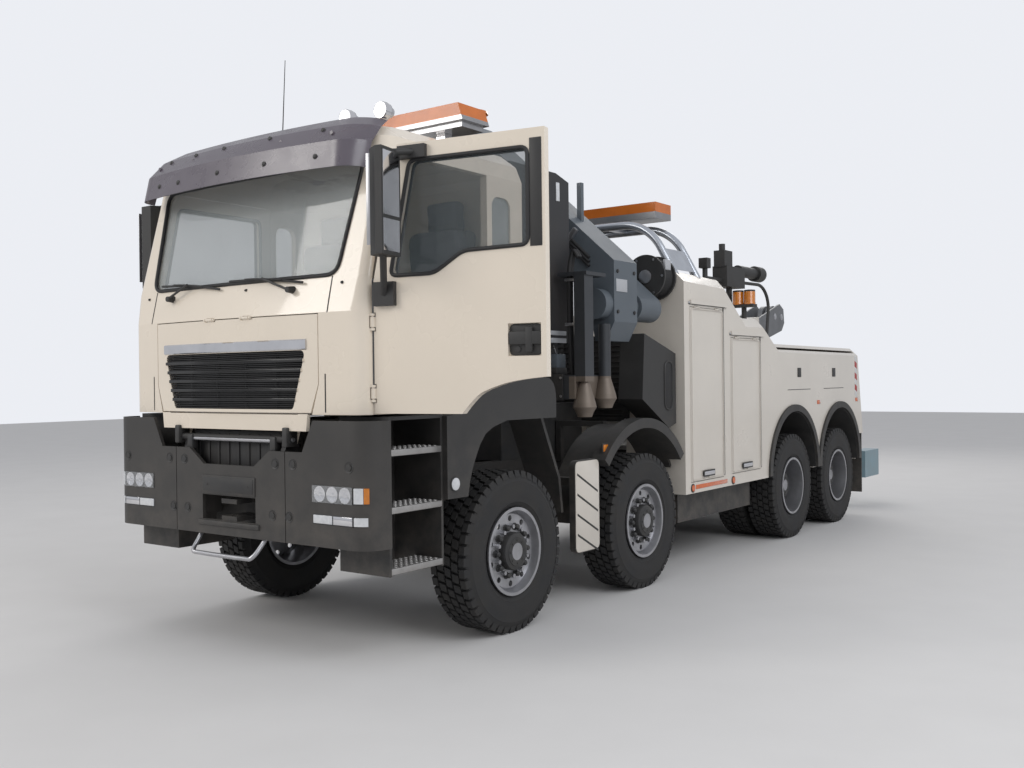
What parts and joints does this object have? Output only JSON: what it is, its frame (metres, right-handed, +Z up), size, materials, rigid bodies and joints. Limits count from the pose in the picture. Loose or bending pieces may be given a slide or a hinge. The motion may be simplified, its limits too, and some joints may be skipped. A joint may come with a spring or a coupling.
{
  "type": "heavy recovery truck",
  "caption": "Heavy tow truck with tilting cab, folded loader crane, locker body, recovery boom and underlift.",
  "frame": {"origin": "middle of the front tow jaw's upright bore, on the centre plane, 900 mm above the ground", "axes": "+X to the vehicle's left, -Y forward, +Y to the rear, +Z up"},
  "size_m": [3.6248, 10.1797, 3.9898],
  "materials": {
    "tyre": "matte rubber",
    "rim": "satin",
    "chassis": "satin black",
    "engine": "rough cast",
    "bumper": "semi-matt grey",
    "lamp": "clear lens over bright reflector",
    "cab_paint": "gloss ivory",
    "body_paint": "gloss ivory",
    "glass": "tinted",
    "visor": "smoked",
    "roof_gear": "polished",
    "interior": "grained",
    "grille": "satin",
    "mirror_shell": "grained",
    "steps": "grained",
    "fender": "grained",
    "side_gear": "semi-matt",
    "intake": "satin blue grey",
    "crane_paint": "satin blue grey",
    "stabiliser": "worn satin",
    "deck": "brushed",
    "hoops": "brushed",
    "boom_paint": "gloss ivory",
    "underlift_paint": "satin blue"
  },
  "bodies": {
    "chassis": {"frame": "chassis", "axles": "chassis", "engine": "engine", "bumper": "bumper", "front_lamps": "lamp", "step_wells": "steps", "fenders": "fender", "side_gear": "side_gear", "air_intake": "intake", "crane_base": "crane_paint", "body_left": "body_paint", "body_right": "body_paint", "deck": "deck", "hoops": "hoops"},
    "cab": {"cab_shell": "cab_paint", "cab_glass": "glass", "sun_visor": "visor", "roof_gear": "roof_gear", "cab_interior": "interior"},
    "flap": {"front_flap": "grille"},
    "crane_boom": {"crane_boom": "crane_paint"},
    "crane_outer_boom": {"crane_outer_boom": "crane_paint"},
    "crane_extension": {"crane_extension": "crane_paint"},
    "recovery_boom": {"recovery_boom": "boom_paint"},
    "boom_extension": {"boom_extension": "boom_paint"},
    "underlift_arm": {"underlift_arm": "underlift_paint"},
    "stinger": {"underlift_stinger": "underlift_paint"},
    "crossbar": {"crossbar": "underlift_paint"},
    "wheel_1_left": {"tyre_1_left": "tyre", "rim_1_left": "rim"},
    "knuckle_1_left": {"knuckle_1_left": "chassis"},
    "wheel_1_right": {"tyre_1_right": "tyre", "rim_1_right": "rim"},
    "knuckle_1_right": {"knuckle_1_right": "chassis"},
    "wheel_2_left": {"tyre_2_left": "tyre", "rim_2_left": "rim"},
    "knuckle_2_left": {"knuckle_2_left": "chassis"},
    "wheel_2_right": {"tyre_2_right": "tyre", "rim_2_right": "rim"},
    "knuckle_2_right": {"knuckle_2_right": "chassis"},
    "wheel_3_left": {"tyre_3_left": "tyre", "rim_3_left": "rim"},
    "wheel_3_right": {"tyre_3_right": "tyre", "rim_3_right": "rim"},
    "wheel_4_left": {"tyre_4_left": "tyre", "rim_4_left": "rim"},
    "wheel_4_right": {"tyre_4_right": "tyre", "rim_4_right": "rim"},
    "door_left": {"door_left": "cab_paint", "door_glass_left": "glass", "mirror_left": "mirror_shell"},
    "door_right": {"door_right": "cab_paint", "door_glass_right": "glass", "mirror_right": "mirror_shell"},
    "stabiliser_left": {"stabiliser_left": "stabiliser"},
    "stabiliser_right": {"stabiliser_right": "stabiliser"},
    "locker_front_left": {"locker_front_left": "body_paint"},
    "locker_front_right": {"locker_front_right": "body_paint"},
    "locker_rear_left": {"locker_rear_left": "body_paint"},
    "locker_rear_right": {"locker_rear_right": "body_paint"}
  },
  "joints": [
    {"name": "steer_1_left", "type": "hinge", "parent": "chassis", "child": "knuckle_1_left", "pos_m": [0.865, 1.36, -0.352], "axis": [0, 0, 1], "range_deg": [-35, 35]},
    {"name": "spin_1_left", "type": "hinge", "parent": "knuckle_1_left", "child": "wheel_1_left", "pos_m": [1.087, 1.36, -0.352], "axis": [1, 0, 0], "continuous": true},
    {"name": "steer_1_right", "type": "hinge", "parent": "chassis", "child": "knuckle_1_right", "pos_m": [-0.865, 1.36, -0.352], "axis": [0, 0, 1], "range_deg": [-35, 35]},
    {"name": "spin_1_right", "type": "hinge", "parent": "knuckle_1_right", "child": "wheel_1_right", "pos_m": [-1.087, 1.36, -0.352], "axis": [1, 0, 0], "continuous": true},
    {"name": "steer_2_left", "type": "hinge", "parent": "chassis", "child": "knuckle_2_left", "pos_m": [0.865, 3.155, -0.352], "axis": [0, 0, 1], "range_deg": [-24, 24]},
    {"name": "spin_2_left", "type": "hinge", "parent": "knuckle_2_left", "child": "wheel_2_left", "pos_m": [1.087, 3.155, -0.352], "axis": [1, 0, 0], "continuous": true},
    {"name": "steer_2_right", "type": "hinge", "parent": "chassis", "child": "knuckle_2_right", "pos_m": [-0.865, 3.155, -0.352], "axis": [0, 0, 1], "range_deg": [-24, 24]},
    {"name": "spin_2_right", "type": "hinge", "parent": "knuckle_2_right", "child": "wheel_2_right", "pos_m": [-1.087, 3.155, -0.352], "axis": [1, 0, 0], "continuous": true},
    {"name": "spin_3_left", "type": "hinge", "parent": "chassis", "child": "wheel_3_left", "pos_m": [1.087, 6.36, -0.352], "axis": [1, 0, 0], "continuous": true},
    {"name": "spin_3_right", "type": "hinge", "parent": "chassis", "child": "wheel_3_right", "pos_m": [-1.087, 6.36, -0.352], "axis": [1, 0, 0], "continuous": true},
    {"name": "spin_4_left", "type": "hinge", "parent": "chassis", "child": "wheel_4_left", "pos_m": [1.087, 7.76, -0.352], "axis": [1, 0, 0], "continuous": true},
    {"name": "spin_4_right", "type": "hinge", "parent": "chassis", "child": "wheel_4_right", "pos_m": [-1.087, 7.76, -0.352], "axis": [1, 0, 0], "continuous": true},
    {"name": "cab_tilt", "type": "hinge", "parent": "chassis", "child": "cab", "pos_m": [0, -0.005, 0.46], "axis": [1, 0, 0], "range_deg": [0, 60]},
    {"name": "flap_lift", "type": "hinge", "parent": "cab", "child": "flap", "pos_m": [0, -0.044, 1.221], "axis": [-1, 0, 0], "range_deg": [0, 100]},
    {"name": "door_left_swing", "type": "hinge", "parent": "cab", "child": "door_left", "pos_m": [1.124, 0.12, 1.4], "axis": [0, 0, -1], "range_deg": [-79, 6]},
    {"name": "door_right_swing", "type": "hinge", "parent": "cab", "child": "door_right", "pos_m": [-1.124, 0.12, 1.4], "axis": [0, 0, 1], "range_deg": [0, 85]},
    {"name": "crane_lift", "type": "hinge", "parent": "chassis", "child": "crane_boom", "pos_m": [-0.4, 2.94, 2.8], "axis": [0, -1, 0], "range_deg": [0, 110]},
    {"name": "crane_knuckle", "type": "hinge", "parent": "crane_boom", "child": "crane_outer_boom", "pos_m": [1.07, 3.39, 1.4], "axis": [0, 1, 0], "range_deg": [0, 160]},
    {"name": "crane_extend", "type": "slide", "parent": "crane_outer_boom", "child": "crane_extension", "axis": [-0.749, 0, 0.6626], "range_m": [0, 1.3]},
    {"name": "stabiliser_left_slide", "type": "slide", "parent": "chassis", "child": "stabiliser_left", "axis": [1, 0, 0], "range_m": [0, 0.8]},
    {"name": "stabiliser_right_slide", "type": "slide", "parent": "chassis", "child": "stabiliser_right", "axis": [-1, 0, 0], "range_m": [0, 0.8]},
    {"name": "boom_lift", "type": "hinge", "parent": "chassis", "child": "recovery_boom", "pos_m": [0, 5.02, 0.88], "axis": [1, 0, 0], "range_deg": [-4, 40]},
    {"name": "boom_extend", "type": "slide", "parent": "recovery_boom", "child": "boom_extension", "axis": [0, 0.9912, 0.1323], "range_m": [0, 1.5]},
    {"name": "underlift_fold", "type": "hinge", "parent": "chassis", "child": "underlift_arm", "pos_m": [0, 8.86, -0.28], "axis": [1, 0, 0], "range_deg": [-6, 85]},
    {"name": "stinger_extend", "type": "slide", "parent": "underlift_arm", "child": "stinger", "axis": [0, 1, 0], "range_m": [0, 0.3]},
    {"name": "crossbar_swivel", "type": "hinge", "parent": "stinger", "child": "crossbar", "pos_m": [0, 9.635, -0.4], "axis": [0, 0, 1], "range_deg": [-25, 25]},
    {"name": "locker_front_left_lift", "type": "hinge", "parent": "chassis", "child": "locker_front_left", "pos_m": [1.253, 4.36, 1.432], "axis": [0, -1, 0], "range_deg": [0, 100]},
    {"name": "locker_front_right_lift", "type": "hinge", "parent": "chassis", "child": "locker_front_right", "pos_m": [-1.253, 4.36, 1.432], "axis": [0, 1, 0], "range_deg": [0, 100]},
    {"name": "locker_rear_left_lift", "type": "hinge", "parent": "chassis", "child": "locker_rear_left", "pos_m": [1.253, 4.36, 1.182], "axis": [0, -1, 0], "range_deg": [0, 100]},
    {"name": "locker_rear_right_lift", "type": "hinge", "parent": "chassis", "child": "locker_rear_right", "pos_m": [-1.253, 4.36, 1.182], "axis": [0, 1, 0], "range_deg": [0, 100]}
  ],
  "couplings": [
    {"joint": "steer_1_right", "follows": "steer_1_left", "ratio": 1},
    {"joint": "steer_2_left", "follows": "steer_1_left", "ratio": 0.685},
    {"joint": "steer_2_right", "follows": "steer_1_left", "ratio": 0.685}
  ]
}
